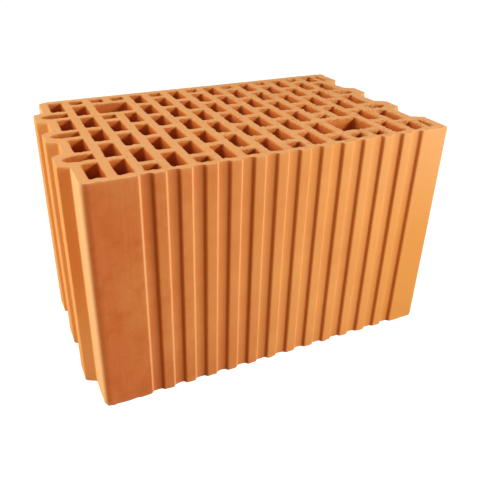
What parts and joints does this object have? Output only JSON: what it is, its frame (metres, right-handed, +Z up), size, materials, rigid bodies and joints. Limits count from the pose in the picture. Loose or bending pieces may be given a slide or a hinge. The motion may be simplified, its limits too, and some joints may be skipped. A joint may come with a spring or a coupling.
{
  "type": "vertically perforated clay block",
  "caption": "Fired-clay walling block with staggered upright perforations, two-column grip holes, grooved wall faces and a tongue-and-groove profile on its ends.",
  "frame": {"origin": "centre of the block's bounding box in plan, on the lower bed face", "axes": "+X along the wall from the tongue end to the groove end, +Y through the wall to the far face, +Z up"},
  "size_m": [0.3836, 0.24, 0.238],
  "materials": {
    "fired_clay": "matte unglazed fired clay, sandy and slightly mottled"
  },
  "bodies": {
    "root": {"clay_block": "fired_clay"}
  },
  "joints": []
}
